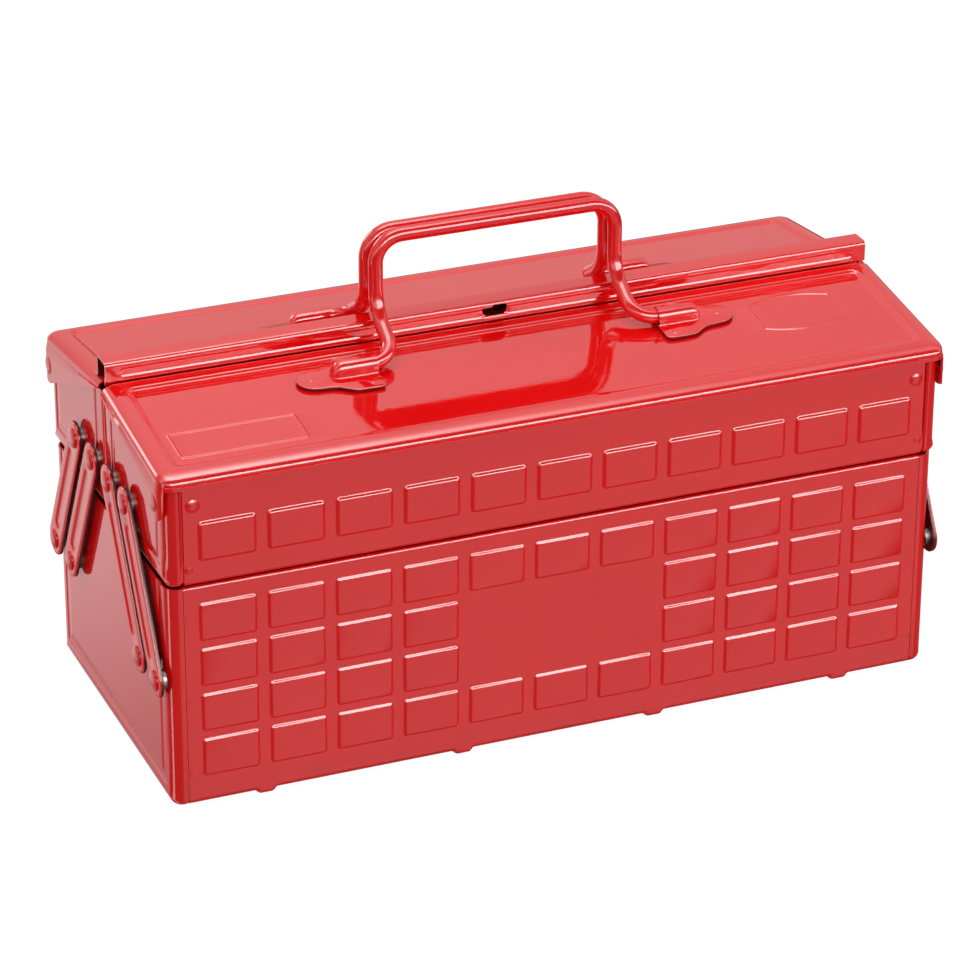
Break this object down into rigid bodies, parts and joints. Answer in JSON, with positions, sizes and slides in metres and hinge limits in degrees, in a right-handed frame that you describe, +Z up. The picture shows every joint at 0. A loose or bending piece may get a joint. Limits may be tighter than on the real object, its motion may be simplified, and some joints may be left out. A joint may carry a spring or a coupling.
{
  "type": "cantilever tool box",
  "caption": "Red enamelled sheet-steel cantilever tool box: a lower box, trays on parallel arms, sloping hinged lids and folding bail handles.",
  "frame": {"origin": "bottom centre of the closed box, on the floor", "axes": "+X along the length to the right of the front, +Y to the back, +Z up"},
  "size_m": [0.4608, 0.2046, 0.2752],
  "materials": {
    "red_enamel": "gloss enamel on pressed sheet steel",
    "red_arm": "gloss enamel on flat steel",
    "red_rod": "gloss enamel on round rod",
    "red_rivet": "enamelled rivet",
    "grey_bush": "zinc-plated bush"
  },
  "bodies": {
    "base": {"base_wrap": "red_enamel", "base_end_left": "red_enamel", "base_end_right": "red_enamel", "base_spacers": "grey_bush", "base_rivets": "red_rivet"},
    "front_arm_outer_left": {"front_arm_outer_left": "red_arm"},
    "front_tray": {"front_tray_wrap": "red_enamel", "front_tray_end_left": "red_enamel", "front_tray_end_right": "red_enamel", "front_tray_spacers": "grey_bush", "front_tray_rivets": "red_rivet", "front_lid_rivets": "red_rivet"},
    "front_arm_inner_left": {"front_arm_inner_left": "red_arm"},
    "front_arm_outer_right": {"front_arm_outer_right": "red_arm"},
    "front_arm_inner_right": {"front_arm_inner_right": "red_arm"},
    "front_lid": {"front_lid": "red_enamel", "front_bracket_left": "red_enamel", "front_bracket_right": "red_enamel"},
    "front_handle": {"front_handle": "red_rod"},
    "rear_arm_outer_left": {"rear_arm_outer_left": "red_arm"},
    "rear_tray": {"rear_tray_wrap": "red_enamel", "rear_tray_end_left": "red_enamel", "rear_tray_end_right": "red_enamel", "rear_tray_spacers": "grey_bush", "rear_tray_rivets": "red_rivet", "rear_lid_rivets": "red_rivet"},
    "rear_arm_inner_left": {"rear_arm_inner_left": "red_arm"},
    "rear_arm_outer_right": {"rear_arm_outer_right": "red_arm"},
    "rear_arm_inner_right": {"rear_arm_inner_right": "red_arm"},
    "rear_lid": {"rear_lid": "red_enamel", "rear_bracket_left": "red_enamel", "rear_bracket_right": "red_enamel", "rear_ridge": "red_enamel", "rear_lock_tab": "red_enamel"},
    "rear_handle": {"rear_handle": "red_rod"}
  },
  "joints": [
    {"name": "front_fold", "type": "hinge", "parent": "base", "child": "front_arm_outer_left", "pos_m": [-0.2277, -0.0888, 0.077], "axis": [1, 0, 0], "range_deg": [0, 57.5]},
    {"name": "front_tray_level", "type": "hinge", "parent": "front_arm_outer_left", "child": "front_tray", "pos_m": [-0.2277, -0.0432, 0.1594], "axis": [1, 0, 0], "range_deg": [-57.5, 0]},
    {"name": "front_swing_inner_left", "type": "hinge", "parent": "base", "child": "front_arm_inner_left", "pos_m": [-0.2277, -0.06, 0.077], "axis": [1, 0, 0], "range_deg": [0, 57.5]},
    {"name": "front_swing_outer_right", "type": "hinge", "parent": "base", "child": "front_arm_outer_right", "pos_m": [0.2277, -0.0888, 0.077], "axis": [1, 0, 0], "range_deg": [0, 57.5]},
    {"name": "front_swing_inner_right", "type": "hinge", "parent": "base", "child": "front_arm_inner_right", "pos_m": [0.2277, -0.06, 0.077], "axis": [1, 0, 0], "range_deg": [0, 57.5]},
    {"name": "front_lid_open", "type": "hinge", "parent": "front_tray", "child": "front_lid", "pos_m": [-0.2257, -0.091, 0.1825], "axis": [1, 0, 0], "range_deg": [0, 84]},
    {"name": "front_handle_fold", "type": "hinge", "parent": "front_lid", "child": "front_handle", "pos_m": [-0.092, -0.033, 0.21227], "axis": [1, 0, 0], "range_deg": [0, 121]},
    {"name": "rear_fold", "type": "hinge", "parent": "base", "child": "rear_arm_outer_left", "pos_m": [-0.2277, 0.0888, 0.077], "axis": [-1, 0, 0], "range_deg": [0, 57.5]},
    {"name": "rear_tray_level", "type": "hinge", "parent": "rear_arm_outer_left", "child": "rear_tray", "pos_m": [-0.2277, 0.0432, 0.1594], "axis": [-1, 0, 0], "range_deg": [-57.5, 0]},
    {"name": "rear_swing_inner_left", "type": "hinge", "parent": "base", "child": "rear_arm_inner_left", "pos_m": [-0.2277, 0.06, 0.077], "axis": [-1, 0, 0], "range_deg": [0, 57.5]},
    {"name": "rear_swing_outer_right", "type": "hinge", "parent": "base", "child": "rear_arm_outer_right", "pos_m": [0.2277, 0.0888, 0.077], "axis": [-1, 0, 0], "range_deg": [0, 57.5]},
    {"name": "rear_swing_inner_right", "type": "hinge", "parent": "base", "child": "rear_arm_inner_right", "pos_m": [0.2277, 0.06, 0.077], "axis": [-1, 0, 0], "range_deg": [0, 57.5]},
    {"name": "rear_lid_open", "type": "hinge", "parent": "rear_tray", "child": "rear_lid", "pos_m": [-0.2257, 0.091, 0.1825], "axis": [-1, 0, 0], "range_deg": [0, 84]},
    {"name": "rear_handle_fold", "type": "hinge", "parent": "rear_lid", "child": "rear_handle", "pos_m": [-0.092, 0.033, 0.21227], "axis": [-1, 0, 0], "range_deg": [0, 121]}
  ],
  "couplings": [
    {"joint": "front_tray_level", "follows": "front_fold", "ratio": -1},
    {"joint": "front_swing_inner_left", "follows": "front_fold", "ratio": 1},
    {"joint": "front_swing_outer_right", "follows": "front_fold", "ratio": 1},
    {"joint": "front_swing_inner_right", "follows": "front_fold", "ratio": 1},
    {"joint": "rear_tray_level", "follows": "rear_fold", "ratio": -1},
    {"joint": "rear_swing_inner_left", "follows": "rear_fold", "ratio": 1},
    {"joint": "rear_swing_outer_right", "follows": "rear_fold", "ratio": 1},
    {"joint": "rear_swing_inner_right", "follows": "rear_fold", "ratio": 1}
  ]
}
